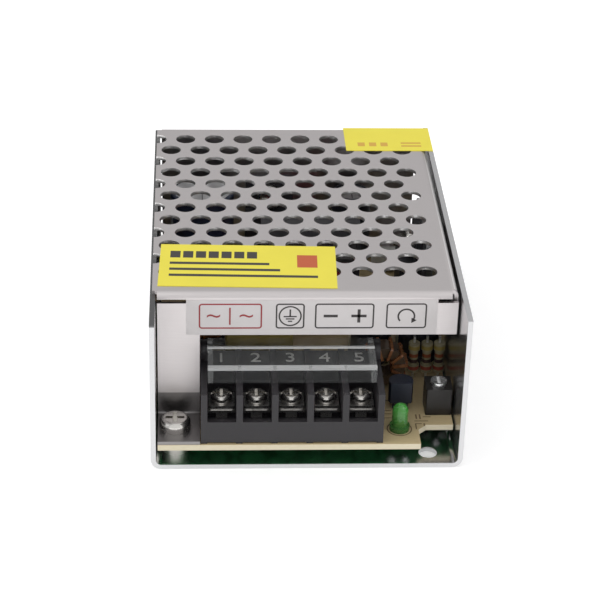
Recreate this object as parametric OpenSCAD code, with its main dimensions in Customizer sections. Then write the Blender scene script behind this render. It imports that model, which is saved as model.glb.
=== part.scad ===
// Mesh case switching power supply: a bent aluminium base channel, a perforated
// bent cover, a circuit board with its parts and a five-way screw terminal block.
// The origin is at the centre of the underside; the terminals face -Y.

/* [Base channel] */
// Overall width across the side walls
case_w = 58; // [56:0.5:64]
// Overall length of the base channel
case_l = 81.5; // [80:0.5:92]
// Height from the underside to the top of the right wall and the cover
case_h = 31.6; // [31:0.2:38]
// Thickness of the base sheet
base_t = 1; // [0.8:0.1:1.2]
// Inside radius of the two base bends
base_bend_r = 1; // [0.6:0.1:1.4]
// Diameter of the two mounting holes in the floor
mount_hole_d = 3.4; // [3:0.1:3.6]
// Distance of a mounting hole's centre from its end of the floor
mount_hole_end = 3.6; // [3.2:0.1:4]
// Distance of a mounting hole's centre from the nearer side wall's outer face
mount_hole_side = 6.2; // [5.6:0.1:7]
// Diameter of the round standoffs staked to the floor
standoff_d = 4.8; // [4.4:0.1:5]

/* [Perforated cover] */
// Thickness of the cover sheet
cover_t = 0.7; // [0.5:0.05:0.9]
// Inside radius of the cover's bends
cover_bend_r = 0.5; // [0.3:0.1:0.8]
// Setback of the cover's front face from the base's front edge
cover_setback = 10.1; // [9.8:0.1:10.6]
// Setback of the cover's rear face from the base's rear edge
cover_rear_gap = 0.3; // [0.1:0.1:0.6]
// Gap between the cover's right edge and the right wall
cover_side_gap = 0.4; // [0.2:0.1:0.8]
// How much of the left wall's top edge stays bare outside the cover
cover_left_bare = 0.4; // [0.2:0.1:0.7]
// Height of the front flange, measured from the cover's top
flange_h = 8.7; // [8:0.1:9]
// Depth of the folded right edge, measured from the cover's top
side_fold_h = 5; // [3:0.5:7]
// Diameter of the round vent holes
vent_d = 4; // [3:0.1:4.6]
// Centre distance of the vent holes in a row
vent_pitch = 6; // [5.6:0.1:7]
// Distance from the base's front edge to the first row of vent holes
vent_first_row = 18.4; // [17:0.1:20]
// Distance from the cover's right edge to the nearest vent hole centre
vent_right = 5.2; // [4.5:0.1:6]
// Least distance from the last row's centres to the cover's rear face
vent_rear = 5; // [4:0.5:7]
// Height of the relief slots at the ends of the front bend
relief_h = 0.8; // [0.5:0.1:1]
// Length of the relief slot at the right end
relief_right_l = 3.8; // [3:0.1:5]
// Length of the relief slot at the left end
relief_left_l = 6.2; // [5:0.1:7]

/* [Cover feet and screws] */
// Width of a leg and its foot
foot_w = 7.8; // [7:0.1:8.2]
// Gap between the front foot's tip and the base's front edge
foot_tip_gap = 0.3; // [0.2:0.1:0.8]
// Distance of a foot screw from its end of the base
foot_screw_end = 5.4; // [5.2:0.1:5.8]
// Head diameter of the foot screws
foot_head_d = 5.8; // [5:0.1:6]
// Head height of the foot screws
foot_head_h = 2.1; // [1.6:0.1:2.4]
// Nominal thread diameter of the foot screws
foot_thread_d = 3; // [2.6:0.1:3]

/* [Circuit board] */
// Height of the board's underside above the floor
board_lift = 3; // [2.6:0.1:3.4]
// Thickness of the board
board_t = 1.2; // [1:0.1:1.6]
// Gap between the board's long edges and the walls
board_side_gap = 0.3; // [0.2:0.1:0.6]
// Gap between the board's ends and the ends of the base
board_end_gap = 0.2; // [0.1:0.1:0.3]
// Width of the corner notches over the mounting holes
notch_w = 6.7; // [6:0.1:8]
// Depth of the corner notches over the mounting holes
notch_l = 6.4; // [6:0.1:7]
// Chamfer at the inner corner of a notch
notch_chamfer = 1.6; // [1:0.1:2]

/* [Terminal block] */
// Number of screw terminals
ways = 5; // [5:1:5]
// Centre distance of the terminals
way_pitch = 6.5; // [6.3:0.1:6.6]
// Thickness of the ribs between the terminals
rib_t = 1.2; // [1:0.1:1.3]
// Gap between the block and the cover's front foot
block_side_gap = 0.15; // [0.1:0.05:0.3]
// Setback of the block's front face from the base's front edge
block_setback = 0.6; // [0.4:0.1:0.8]
// Depth of the block
block_depth = 16.4; // [16.2:0.1:17]
// Height of the ribs above the board
rib_h = 10.6; // [10.4:0.1:11]
// Height of the front apron above the board
apron_h = 4.7; // [4.6:0.1:5]
// Thickness of the front apron
apron_t = 1.2; // [1:0.1:1.4]
// Height of the contact seats above the board
seat_h = 3.6; // [3.4:0.1:3.8]
// Distance of the terminal screws from the block's front face
screw_back = 7.5; // [7.4:0.1:7.8]
// Distance from the block's front face to its rear shelf
shelf_back = 11.4; // [11.3:0.1:11.8]
// How far the shelf lies below the tops of the ribs
shelf_drop = 0.5; // [0.4:0.1:0.7]

/* [Terminal metalwork] */
// Thickness of the contact strips
contact_t = 0.5; // [0.4:0.1:0.6]
// Side of the square clamp washers
washer_side = 4.7; // [4.4:0.1:4.8]
// Thickness of the clamp washers
washer_t = 0.8; // [0.6:0.1:1]
// Head diameter of the terminal screws
terminal_head_d = 4; // [3.6:0.1:4.4]
// Head height of the terminal screws
terminal_head_h = 1.5; // [1.2:0.1:1.8]
// Nominal thread diameter of the terminal screws
terminal_thread_d = 2.9; // [2.5:0.1:3]
// Length of the terminal screws under the head
terminal_thread_l = 3.8; // [3.6:0.1:4]

/* [Clear terminal lid] */
// Wall thickness of the lid
lid_t = 0.9; // [0.8:0.1:1]
// Overall height of the lid
lid_h = 3.2; // [3:0.1:3.4]
// Distance from the block's front face to the lid's front face
lid_back = 4; // [3.8:0.1:4.2]
// Distance from the block's front face to the hinge axis
hinge_back = 13.9; // [13.7:0.1:14.1]
// Height of the hinge axis above the tops of the ribs
hinge_rise = 1.5; // [1.4:0.1:1.6]
// Diameter of the hinge pins
hinge_pin_d = 1.5; // [1.3:0.1:1.7]

/* [Adjuster and lamp] */
// Side of the square trimmer body
trimmer_side = 5; // [4.6:0.1:5.2]
// Height of the trimmer body
trimmer_h = 5.6; // [5:0.1:6]
// Diameter of the trimmer's slotted rotor
rotor_d = 3.1; // [2.8:0.1:3.4]
// Distance of the trimmer's axis from the base's front edge
trimmer_y = 12.4; // [11.8:0.1:13]
// Diameter of the lamp's dome
lamp_d = 3; // [2.8:0.1:3.4]
// Height of the lamp above the board
lamp_h = 5.6; // [5:0.1:6]
// Distance of the lamp from the base's front edge
lamp_y = 5.3; // [4.8:0.1:5.8]
// Distance of the lamp from the terminal block's right side
lamp_side = 3.45; // [3:0.05:4]

/* [Power parts] */
// Diameter of the bulk capacitor
bulk_d = 13; // [11:0.5:14]
// Height of the bulk capacitor
bulk_h = 21.5; // [16:0.5:24]
// Width of the transformer core
core_w = 20; // [18:0.5:21]
// Height of the transformer core
core_h = 17; // [15:0.5:20]
// Depth of the transformer core
core_depth = 5.6; // [5:0.2:6.4]
// Depth of the transformer over its bobbin
bobbin_depth = 18.5; // [17:0.5:20]
// Diameter of the output capacitors
output_cap_d = 8.4; // [7.5:0.1:9]
// Height of the output capacitors
output_cap_h = 15.5; // [12:0.5:18]
// Thickness of the two heatsink plates
sink_t = 1.6; // [1:0.1:2]
// Height of the two heatsink plates
sink_h = 20; // [16:0.5:22]
// Width of the two heatsink plates
sink_w = 20; // [16:0.5:22]

/* [Stickers] */
// Thickness of the stickers
sticker_t = 0.1; // [0.05:0.05:0.15]
// Length of the yellow top sticker
top_sticker_l = 33; // [30:0.5:36]
// Width of the yellow top sticker
top_sticker_w = 16; // [14:0.5:17]

/* [Hidden] */
$fn = 48;

// Datum planes of the case
front = -case_l / 2;
rear = case_l / 2;
inner_x = case_w / 2 - base_t;
board_z = base_t + board_lift;
board_top = board_z + board_t;

// The cover's edges
cover_x0 = -case_w / 2 + cover_left_bare;
cover_x1 = inner_x - cover_side_gap;
cover_y0 = front + cover_setback;
cover_y1 = rear - cover_rear_gap;
cover_under = case_h - cover_t;
cover_outer_r = cover_bend_r + cover_t;
row_pitch = vent_pitch * sqrt(3) / 2;
vent_rows = floor((cover_y1 - vent_rear - front - vent_first_row) / row_pitch) + 1;
vent_least_x = cover_x0 - vent_d / 2 + 0.6;

// The feet stand on the board, in opposite corners
foot_x0 = -inner_x + board_side_gap;
foot_z = board_top;
foot_top = foot_z + cover_t;
foot_screw_x = foot_x0 + foot_w / 2 - 0.7;
foot_sites = [[foot_screw_x, front + foot_screw_end], [-foot_screw_x, rear - foot_screw_end]];
thread_gap = 0.04;
foot_thread_tip = base_t + 0.4;

// The terminal block, whose own axes start at its front face on the board
block_w = ways * way_pitch + rib_t;
block_x = foot_x0 + foot_w + block_side_gap + block_w / 2;
block_right = block_x + block_w / 2;
block_y = front + block_setback;
block_rear = block_y + block_depth;
way_x = [for (i = [0:ways - 1]) block_x + (i - (ways - 1) / 2) * way_pitch];
screw_y = block_y + screw_back;
bay_w = way_pitch - rib_t;
seat_z = board_top + seat_h;
rib_top = board_top + rib_h;
contact_front = screw_back - 2.6;
contact_back = shelf_back - 0.1;
tab_drop = 1.2;
tab_w = 2.1;
pin_w = 1;
pin_t = 0.6;
pin_back = contact_back - pin_t;
pin_tip_z = board_z - 1;
stack_gap = 0.05;
washer_z = seat_z + contact_t + stack_gap;
head_z = washer_z + washer_t + stack_gap;

// The lid's hinge
hinge_y = block_y + hinge_back;
hinge_z = rib_top + hinge_rise;
lid_gap = 0.1;
lid_z = rib_top + lid_gap;
lid_top = lid_z + lid_h;
lid_half = block_w / 2 - rib_t - lid_gap;
lid_rear = hinge_y + 0.8;
hinge_gap = 0.08;
ear_r = lid_top - hinge_z;

// The adjuster and the lamp
trimmer_x = inner_x - trimmer_side / 2 - 0.3;
well_gap = 0.08;
well_depth = 1.6;
rotor_proud = 0.7;

// Places of the parts on the board: each keeps its distance from the block,
// a wall, an end of the case or the part beside it
part_gap = 1;
lamp_at = [block_right + lamp_side, front + lamp_y];
trimmer_at = [trimmer_x, front + trimmer_y];
transistor_at = [block_right + 4.2, front + 12.8];
choke_at = [block_right + 1.6, block_rear + 4];
resistor_at = [for (gap = [6.4, 3.9, 1.5]) [inner_x - gap, block_rear + 6.6]];
fuse_at = [-inner_x + 5.4, block_rear + 4];
filter_cap_at = [block_x - 5.6, block_rear + 7];
thermistor_at = [-inner_x + 3.6, front + 33];
filter_at = [-inner_x + 15, front + 36.7];
bridge_at = [-inner_x + 4.1, front + 42.5];
output_cap_x = inner_x - output_cap_d / 2 - 0.8;
output_cap_at = [[output_cap_x - output_cap_d - part_gap, front + 31], [output_cap_x, front + 31],
                 [inner_x - 15.5, rear - 8.5]];
safety_cap_at = [inner_x - 12.4, front + 38.3];
transformer_at = [2.6, front + 50.7];
rectifier_at = [inner_x - 3, front + 51];
bulk_at = [-inner_x + bulk_d / 2 + 2.3, rear - 13.2 - bulk_d / 2];
switch_at = [-5, rear - 8.5];
opto_at = [inner_x - 7.8, rear - 14];
chip_at = [-inner_x + 5, rear - 10.4];

// Places of the leads on each part, and the wire sizes
function row_of(half, y) = [[-half, y], [half, y]];
function grid_of(x, y) = [for (sx = [-1, 1], sy = [-1, 1]) [sx * x, sy * y]];
lamp_leads = row_of(1.27, 0);
trimmer_leads = concat(row_of(1.5, 1.2), [[0, -1.2]]);
transistor_leads = concat(row_of(1.27, 0), [[0, 0]]);
choke_leads = row_of(2, 0);
radial_leads = row_of(2.5, 0);
film_leads = row_of(5, 0);
disc_leads = [[0, -2.5], [0, 2.5]];
bridge_leads = grid_of(2.6, 2.5);
dip_leads = grid_of(3, 1.27);
transformer_leads = [for (s = [-1, 1], k = [-2:2]) [k * 3.75, s * (bobbin_depth / 2 - 1.6)]];
filter_leads = grid_of(6, 3);
thin_wire = 0.5;
wire = 0.6;
thick_wire = 0.8;
hole_gap = 0.3;
lead_sets = concat(
    [[lamp_at, lamp_leads, thin_wire], [trimmer_at, trimmer_leads, wire],
     [transistor_at, transistor_leads, thin_wire], [choke_at, choke_leads, thin_wire],
     [fuse_at, radial_leads, wire], [filter_cap_at, film_leads, wire],
     [thermistor_at, disc_leads, wire], [filter_at, filter_leads, wire],
     [bridge_at, bridge_leads, wire], [safety_cap_at, radial_leads, wire],
     [transformer_at, transformer_leads, thick_wire], [bulk_at, can_leads(bulk_d), thick_wire],
     [opto_at, dip_leads, thin_wire], [chip_at, dip_leads, thin_wire]],
    [for (at = resistor_at) [at, [[0, 0]], thin_wire]],
    [for (at = output_cap_at) [at, can_leads(output_cap_d), thick_wire]]);
function can_leads(d) = row_of(d / 5, 0);

// The power devices, whose tabs lie against their heatsinks
tab_gap = 0.02;
device_leg_w = 0.7;
device_leg_t = 0.6;
device_leg_y = -2.7;
device_pitch = 2.54;
sink_pin_w = 1.6;
sink_pin_x = sink_w / 2 - 3.5;
sink_hole_z = 15.2;

// ---- Helpers -------------------------------------------------------------

// A profile drawn in Y and Z, drawn out from x0 to x1
module along_x(x0, x1) {
    translate([x0, 0, 0]) rotate([90, 0, 90]) linear_extrude(x1 - x0) children();
}

// A profile drawn in X and Z, drawn out from y0 to y1
module along_y(y0, y1) {
    translate([0, y1, 0]) rotate([90, 0, 0]) linear_extrude(y1 - y0) children();
}

// A rectangle given by two corners
module rect(a, b) {
    translate(a) square(b - a);
}

// A box given by two corners
module block(a, b) {
    translate(a) cube(b - a);
}

// A quarter of a ring, the section of a bend; dir gives its quadrant. A short
// straight stub at each end laps the flat sheet that the bend joins
module bend(centre, r, t, dir) {
    stub = 0.05;
    translate(centre) scale(dir) {
        intersection() {
            difference() {
                circle(r + t);
                circle(r);
            }
            square(r + t);
        }
        rect([r, -stub], [r + t, stub / 10]);
        rect([-stub, r], [stub / 10, r + t]);
    }
}

// A rectangle with rounded corners, centred
module round_rect(w, l, r) {
    square([w, l - 2 * r], center = true);
    square([w - 2 * r, l], center = true);
    for (sx = [-1, 1], sy = [-1, 1])
        translate([sx * (w / 2 - r), sy * (l / 2 - r)]) circle(r);
}

// A pan head with a crowned edge, standing on z = 0
module pan_head(d, h) {
    edge = h * 0.45;
    rotate_extrude() {
        square([d / 2 - edge, h]);
        square([d / 2, h - edge]);
        translate([d / 2 - edge, h - edge]) circle(edge);
    }
}

// A cross recess cut from z = 0 downwards
module cross_recess(span, width, depth) {
    for (a = [0, 90])
        rotate(a) translate([-span / 2, -width / 2, -depth]) cube([span, width, depth + 1]);
}

// A machine screw with its head's underside at z = 0
module screw(head_d, head_h, thread_d, length) {
    difference() {
        pan_head(head_d, head_h);
        translate([0, 0, head_h]) cross_recess(head_d * 0.6, head_d * 0.14, head_h * 0.55);
    }
    translate([0, 0, -length]) cylinder(d = thread_d - 2 * thread_gap, h = length + 0.1);
}

// Puts a part at a place on the board
module on_board(at) {
    translate([at[0], at[1], board_top]) children();
}

// Straight round leads through the board, up to rise above it
module leads(sites, d, rise = 0.2) {
    for (p = sites)
        translate([p[0], p[1], pin_tip_z - board_top]) cylinder(d = d, h = board_top - pin_tip_z + rise);
}

// ---- Case ----------------------------------------------------------------

module chassis() {
    outer_r = base_bend_r + base_t;
    color("silver") difference() {
        along_y(front, rear) {
            rect([-case_w / 2 + outer_r, 0], [case_w / 2 - outer_r, base_t]);
            for (s = [-1, 1])
                bend([s * (case_w / 2 - outer_r), outer_r], base_bend_r, base_t, [s, -1]);
            rect([inner_x, outer_r], [case_w / 2, case_h]);
            rect([-case_w / 2, outer_r], [-inner_x, cover_under]);
        }
        for (s = [-1, 1])
            translate([s * (mount_hole_side - case_w / 2), s * (rear - mount_hole_end), -1])
                cylinder(d = mount_hole_d, h = base_t + 2);
    }
}

module standoffs() {
    color("silver") for (p = foot_sites)
        translate([p[0], p[1], base_t]) difference() {
            cylinder(d = standoff_d, h = board_lift);
            translate([0, 0, -1]) cylinder(d = foot_thread_d, h = board_lift + 2);
        }
}

// Centres of the vent holes in one row
function vent_row(row) =
    let (x = cover_x1 - vent_right - (row % 2) * vent_pitch / 2)
    [for (k = [0:floor((x - vent_least_x) / vent_pitch)]) x - k * vent_pitch];

// The sheet's outline from the front flange over the top to the rear flange
module cover_profile(rear_foot) {
    rear_low = rear_foot ? foot_top + cover_outer_r : base_t + 0.3;
    rect([cover_y0, case_h - flange_h], [cover_y0 + cover_t, case_h - cover_outer_r]);
    bend([cover_y0 + cover_outer_r, case_h - cover_outer_r], cover_bend_r, cover_t, [-1, 1]);
    rect([cover_y0 + cover_outer_r, cover_under], [cover_y1 - cover_outer_r, case_h]);
    bend([cover_y1 - cover_outer_r, case_h - cover_outer_r], cover_bend_r, cover_t, [1, 1]);
    rect([cover_y1 - cover_t, rear_low], [cover_y1, case_h - cover_outer_r]);
}

// A foot bent out from the lower end of a leg; dir is -1 for the front, where
// the foot points out of the case, and again -1 for the rear, where it points in
module foot_profile(leg_y, tip_y, leg_top) {
    rect([leg_y, foot_top + cover_bend_r], [leg_y + cover_t, leg_top]);
    bend([leg_y - cover_bend_r, foot_top + cover_bend_r], cover_bend_r, cover_t, [1, -1]);
    rect([tip_y, foot_z], [leg_y - cover_bend_r, foot_top]);
}

module cover() {
    fold_x = cover_x1 - cover_outer_r;
    relief_z = case_h - cover_outer_r - relief_h;
    rear_tip = rear - cover_setback + foot_tip_gap;
    color("gainsboro") difference() {
        union() {
            block([cover_x0, cover_y0 + cover_outer_r, cover_under],
                  [foot_x0, cover_y1 - cover_outer_r, case_h]);
            along_x(foot_x0, -foot_x0 - foot_w) cover_profile(false);
            along_x(-foot_x0 - foot_w, fold_x) cover_profile(true);
            along_x(fold_x, cover_x1)
                rect([cover_y0, case_h - flange_h], [cover_y0 + cover_t, case_h - cover_outer_r]);
            along_x(foot_x0, foot_x0 + foot_w)
                foot_profile(cover_y0, front + foot_tip_gap, case_h - flange_h);
            along_x(-foot_x0 - foot_w, -foot_x0)
                foot_profile(cover_y1 - cover_t, rear_tip, foot_top + 2 * cover_outer_r);
            along_y(cover_y0 + cover_outer_r, cover_y1 - cover_outer_r) {
                bend([fold_x, case_h - cover_outer_r], cover_bend_r, cover_t, [1, 1]);
                rect([cover_x1 - cover_t, case_h - side_fold_h], [cover_x1, case_h - cover_outer_r]);
            }
        }
        for (row = [0:vent_rows - 1], x = vent_row(row))
            translate([x, front + vent_first_row + row * row_pitch, cover_under - 1])
                cylinder(d = vent_d, h = cover_t + 2);
        block([cover_x1 - relief_right_l, cover_y0 - 1, relief_z],
              [cover_x1 + 1, cover_y0 + cover_t + 0.1, relief_z + relief_h]);
        block([cover_x0 - 1, cover_y0 - 1, relief_z],
              [cover_x0 + relief_left_l, cover_y0 + cover_t + 0.1, relief_z + relief_h]);
        for (p = foot_sites)
            translate([p[0], p[1], foot_z - 1]) cylinder(d = foot_thread_d + 0.4, h = cover_t + 2);
    }
}

module cover_screws() {
    color("silver") for (p = foot_sites)
        translate([p[0], p[1], foot_top])
            screw(foot_head_d, foot_head_h, foot_thread_d, foot_top - foot_thread_tip);
}

// ---- Circuit board -------------------------------------------------------

// The notch in a board corner, with a chamfered inner corner
module notch_outline() {
    polygon([[1, -1], [1, notch_l], [-notch_w + notch_chamfer, notch_l],
             [-notch_w, notch_l - notch_chamfer], [-notch_w, -1]]);
}

module circuit_board() {
    board_half = inner_x - board_side_gap;
    board_rear = rear - cover_rear_gap - cover_t - board_end_gap;
    color("tan") difference() {
        block([-board_half, front + board_end_gap, board_z], [board_half, board_rear, board_top]);
        for (s = [0, 1])
            rotate(s * 180) translate([board_half, front + board_end_gap, board_z - 1])
                linear_extrude(board_t + 2) notch_outline();
        for (p = foot_sites)
            translate([p[0], p[1], board_z - 1]) cylinder(d = foot_thread_d + 0.4, h = board_t + 2);
        for (x = way_x)
            translate([x, block_y + pin_back + pin_t / 2, board_z - 1]) cylinder(d = 1.4, h = board_t + 2);
        for (set = lead_sets, p = set[1])
            translate([set[0][0] + p[0], set[0][1] + p[1], board_z - 1])
                cylinder(d = set[2] + hole_gap, h = board_t + 2);
        for (p = [[-device_pitch, device_leg_y + device_leg_t / 2, 1.2], [0, device_leg_y + device_leg_t / 2, 1.2],
                  [device_pitch, device_leg_y + device_leg_t / 2, 1.2],
                  [-sink_pin_x, sink_t / 2, 2.6], [sink_pin_x, sink_t / 2, 2.6]]) {
            switch_site() translate([p[0], p[1], -board_t - 1]) cylinder(d = p[2], h = board_t + 2);
            rectifier_site() translate([p[0], p[1], -board_t - 1]) cylinder(d = p[2], h = board_t + 2);
        }
    }
}

// ---- Terminal block ------------------------------------------------------

// The side of an end wall, whose ear carries the lid's hinge pin
module end_wall_profile() {
    difference() {
        union() {
            rect([block_y, board_top], [block_y + block_depth, rib_top]);
            rect([hinge_y - ear_r, rib_top - 1], [hinge_y + ear_r, hinge_z]);
            translate([hinge_y, hinge_z]) circle(ear_r);
        }
        translate([hinge_y, hinge_z]) circle(hinge_pin_d / 2 + hinge_gap);
    }
}

module terminal_block() {
    shelf_y = block_y + shelf_back;
    seat_front = block_y + contact_front + contact_t + 0.05;
    x0 = block_x - block_w / 2;
    color("darkslategray") difference() {
        union() {
            along_x(x0 + rib_t / 2, x0 + block_w - rib_t / 2) {
                rect([block_y, board_top + 0.3], [block_y + apron_t, board_top + apron_h]);
                rect([block_y, board_top + 0.3], [seat_front, seat_z - tab_drop]);
                rect([seat_front, board_top + 0.3], [block_y + block_depth, seat_z]);
                rect([shelf_y, board_top + 0.3], [block_y + block_depth, rib_top - shelf_drop]);
            }
            for (i = [1:ways - 1])
                along_x(x0 + i * way_pitch, x0 + i * way_pitch + rib_t)
                    rect([block_y, board_top], [block_y + block_depth, rib_top]);
            for (x = [x0, x0 + ways * way_pitch])
                along_x(x, x + rib_t) end_wall_profile();
        }
        for (x = way_x) {
            translate([x, screw_y, board_top + 1]) cylinder(d = terminal_thread_d + 0.1, h = seat_h);
            block([x - pin_w / 2 - 0.1, block_y + pin_back - 0.1, board_top - 1],
                  [x + pin_w / 2 + 0.1, block_y + contact_back + 0.1, seat_z + contact_t + 0.1]);
        }
    }
}

module terminal_contacts() {
    color("gold") for (x = way_x) difference() {
        union() {
            block([x - bay_w / 2 + 0.1, block_y + contact_front, seat_z],
                  [x + bay_w / 2 - 0.1, block_y + contact_back, seat_z + contact_t]);
            block([x - tab_w / 2, block_y + contact_front, seat_z - tab_drop + 0.1],
                  [x + tab_w / 2, block_y + contact_front + contact_t, seat_z + contact_t / 2]);
            block([x - pin_w / 2, block_y + pin_back, pin_tip_z],
                  [x + pin_w / 2, block_y + contact_back, seat_z + contact_t / 2]);
        }
        translate([x, screw_y, seat_z - 1]) cylinder(d = terminal_thread_d + 0.1, h = contact_t + 2);
    }
}

module clamp_washer(i) {
    color("silver") translate([way_x[i], screw_y, washer_z]) difference() {
        linear_extrude(washer_t) round_rect(washer_side, washer_side, 0.4);
        translate([0, 0, -1]) cylinder(d = terminal_thread_d + 0.1, h = washer_t + 2);
    }
}

module terminal_screw(i) {
    color("silver") translate([way_x[i], screw_y, head_z]) difference() {
        screw(terminal_head_d, terminal_head_h, terminal_thread_d, terminal_thread_l);
        translate([-terminal_head_d, -0.3, terminal_head_h - 0.45]) cube([terminal_head_d * 2, 0.6, 1]);
    }
}

// The lid: a clear tray with a front lip, two side walls and hinge pins
module terminal_lid() {
    lid_front = block_y + lid_back;
    bead_y = hinge_y - 2.9;
    color([0.85, 0.9, 0.9, 0.4]) translate([block_x, 0, 0]) difference() {
        union() {
            along_x(-lid_half, lid_half) {
                rect([lid_front, lid_top - lid_t], [lid_rear, lid_top]);
                rect([lid_front, lid_z], [lid_front + lid_t, lid_top]);
                translate([bead_y, lid_top]) circle(0.45);
            }
            for (x = [-lid_half, lid_half - lid_t]) along_x(x, x + lid_t) {
                rect([lid_front, lid_z], [hinge_y, lid_top]);
                translate([hinge_y, hinge_z]) circle(hinge_z - lid_z);
            }
            for (s = [-1, 1])
                along_x(min(s * (lid_half - lid_t / 2), s * (lid_half + lid_gap + rib_t - 0.1)),
                        max(s * (lid_half - lid_t / 2), s * (lid_half + lid_gap + rib_t - 0.1)))
                    translate([hinge_y, hinge_z]) circle(d = hinge_pin_d);
        }
        for (i = [1:ways - 1])
            block([(i - ways / 2) * way_pitch - rib_t / 4, lid_front - 1, lid_top - 0.35],
                  [(i - ways / 2) * way_pitch + rib_t / 4, lid_front + lid_t, lid_top + 1]);
    }
}

// ---- Lamp and adjuster ---------------------------------------------------

module indicator_led() {
    color("limegreen") on_board(lamp_at) {
        rotate_extrude() {
            square([lamp_d / 2 + 0.4, 1]);
            square([lamp_d / 2, lamp_h - lamp_d / 2]);
            intersection() {
                translate([0, lamp_h - lamp_d / 2]) circle(d = lamp_d);
                square([lamp_d, lamp_h]);
            }
        }
        leads(lamp_leads, thin_wire);
    }
}

module trimmer_body() {
    color("darkslategray") on_board(trimmer_at) {
        difference() {
            linear_extrude(trimmer_h) round_rect(trimmer_side, trimmer_side, 0.3);
            translate([0, 0, trimmer_h - well_depth]) cylinder(d = rotor_d + 2 * well_gap, h = well_depth + 1);
        }
        leads(trimmer_leads, wire);
    }
}

module trimmer_rotor() {
    rotor_h = well_depth + rotor_proud;
    color("silver") on_board(trimmer_at) translate([0, 0, trimmer_h - well_depth])
        difference() {
            cylinder(d = rotor_d, h = rotor_h);
            translate([0, 0, rotor_h]) cross_recess(rotor_d * 0.8, 0.6, 0.8);
        }
}

// ---- Mains side ----------------------------------------------------------

// A moulded package that stands clear of the board on its leads
module chip(w, l, h) {
    translate([0, 0, 0.5]) linear_extrude(h) round_rect(w, l, 0.3);
}

// A can on leads: sleeve, rolled shoulder, sunken top and rubber seal
module can(d, h) {
    shoulder = 0.6;
    rotate_extrude() difference() {
        union() {
            square([d / 2 - shoulder, h]);
            translate([0, 0.8]) square([d / 2, h - 0.8 - shoulder]);
            translate([d / 2 - shoulder, h - shoulder]) circle(shoulder);
        }
        translate([-1, h - 0.3]) square([d / 2 - shoulder + 1, 1]);
        translate([d / 2 + 0.15, 2.6]) circle(0.5);
    }
    leads(can_leads(d), thick_wire);
}

module fuse() {
    color("darkslategray") on_board(fuse_at) {
        cylinder(d = 8.2, h = 7.6);
        leads(radial_leads, wire);
    }
}

module inrush_thermistor() {
    color("darkgreen") on_board(thermistor_at) {
        translate([-1.6, 0, 6.4]) rotate([0, 90, 0]) cylinder(d = 8.4, h = 3.2);
        leads(disc_leads, wire, 3.6);
    }
}

module filter_capacitor() {
    color("khaki") on_board(filter_cap_at) {
        translate([0, 0, 0.1]) linear_extrude(11) round_rect(13, 6.2, 0.6);
        leads(film_leads, wire);
    }
}

filter_w = 15;
filter_core_h = 12;
filter_limb = 3;
filter_lift = 0.8;

// The line filter's core: a closed ferrite frame standing across the board
module line_filter_core() {
    color("dimgray") on_board(filter_at) translate([0, 0, filter_lift]) along_y(-2, 2) difference() {
        rect([-filter_w / 2, 0], [filter_w / 2, filter_core_h]);
        rect([-filter_w / 2 + filter_limb, filter_limb],
             [filter_w / 2 - filter_limb, filter_core_h - filter_limb]);
    }
}

// Two sectioned copper windings round the core's upright legs
module line_filter_windings() {
    leg_x = (filter_w - filter_limb) / 2;
    winding_h = filter_core_h - 2 * filter_limb - 0.2;
    color("peru") on_board(filter_at) {
        for (s = [-1, 1]) translate([s * leg_x, 0, filter_lift + filter_limb + 0.1]) difference() {
            union() {
                for (z = [0, winding_h - 0.9])
                    translate([0, 0, z]) linear_extrude(0.9) round_rect(7, 9, 1);
                linear_extrude(winding_h) round_rect(6.2, 8, 1);
            }
            translate([-filter_limb / 2 - 0.02, -2.02, -1]) cube([filter_limb + 0.04, 4.04, winding_h + 2]);
        }
        leads(filter_leads, wire, filter_lift + filter_limb + 0.3);
    }
}

module bridge_rectifier() {
    color("darkslategray") on_board(bridge_at) {
        chip(6.4, 8.4, 3.2);
        leads(bridge_leads, wire, 0.8);
    }
}

module bulk_capacitor() {
    color("darkslateblue") on_board(bulk_at) can(bulk_d, bulk_h);
}

// A heatsink plate in its own axes: centred on x, its front face at y = 0
module heatsink() {
    difference() {
        union() {
            translate([-sink_w / 2, 0, 0]) cube([sink_w, sink_t, sink_h]);
            for (x = [-sink_w / 2, sink_w / 2 - 3])
                translate([x, 0, sink_h - 2.2]) cube([3, sink_t, 2.2]);
            for (x = [-sink_pin_x, sink_pin_x])
                translate([x - sink_pin_w / 2, 0, pin_tip_z - board_top])
                    cube([sink_pin_w, sink_t, board_top - pin_tip_z]);
        }
        translate([0, -1, sink_hole_z]) rotate([-90, 0, 0]) cylinder(d = 3.1, h = sink_t + 2);
    }
}
device_h = 9;
device_z = 3.2;

// A three-lead power device, its metal tab flat against y = 0, facing -y
module tab_device() {
    difference() {
        translate([-5, -1.3 - tab_gap, device_z]) cube([10, 1.3, 15.6]);
        translate([0, -3, sink_hole_z]) rotate([-90, 0, 0]) cylinder(d = 3.6, h = 5);
    }
    translate([-5, -4.4 - tab_gap, device_z]) cube([10, 3.2, device_h]);
    for (k = [-1:1])
        translate([k * device_pitch - device_leg_w / 2, device_leg_y, pin_tip_z - board_top])
            cube([device_leg_w, device_leg_t, device_z + board_top - pin_tip_z + 0.2]);
}

module switch_site() {
    on_board(switch_at) children();
}

module rectifier_site() {
    on_board(rectifier_at) rotate(-90) children();
}

module switch_heatsink() {
    color("silver") switch_site() heatsink();
}

module power_switch() {
    color("darkslategray") switch_site() tab_device();
}

module rectifier_heatsink() {
    color("silver") rectifier_site() heatsink();
}

module output_rectifier() {
    color("darkslategray") rectifier_site() tab_device();
}

// The screws that hold the power devices to their heatsinks
module sink_screw() {
    translate([0, -1.3 - 2 * tab_gap, sink_hole_z]) rotate([90, 0, 0]) screw(5.4, 1.9, 3, 3.6);
}

module heatsink_screws() {
    color("silver") {
        switch_site() sink_screw();
        rectifier_site() sink_screw();
    }
}

// ---- Transformer ---------------------------------------------------------

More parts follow.
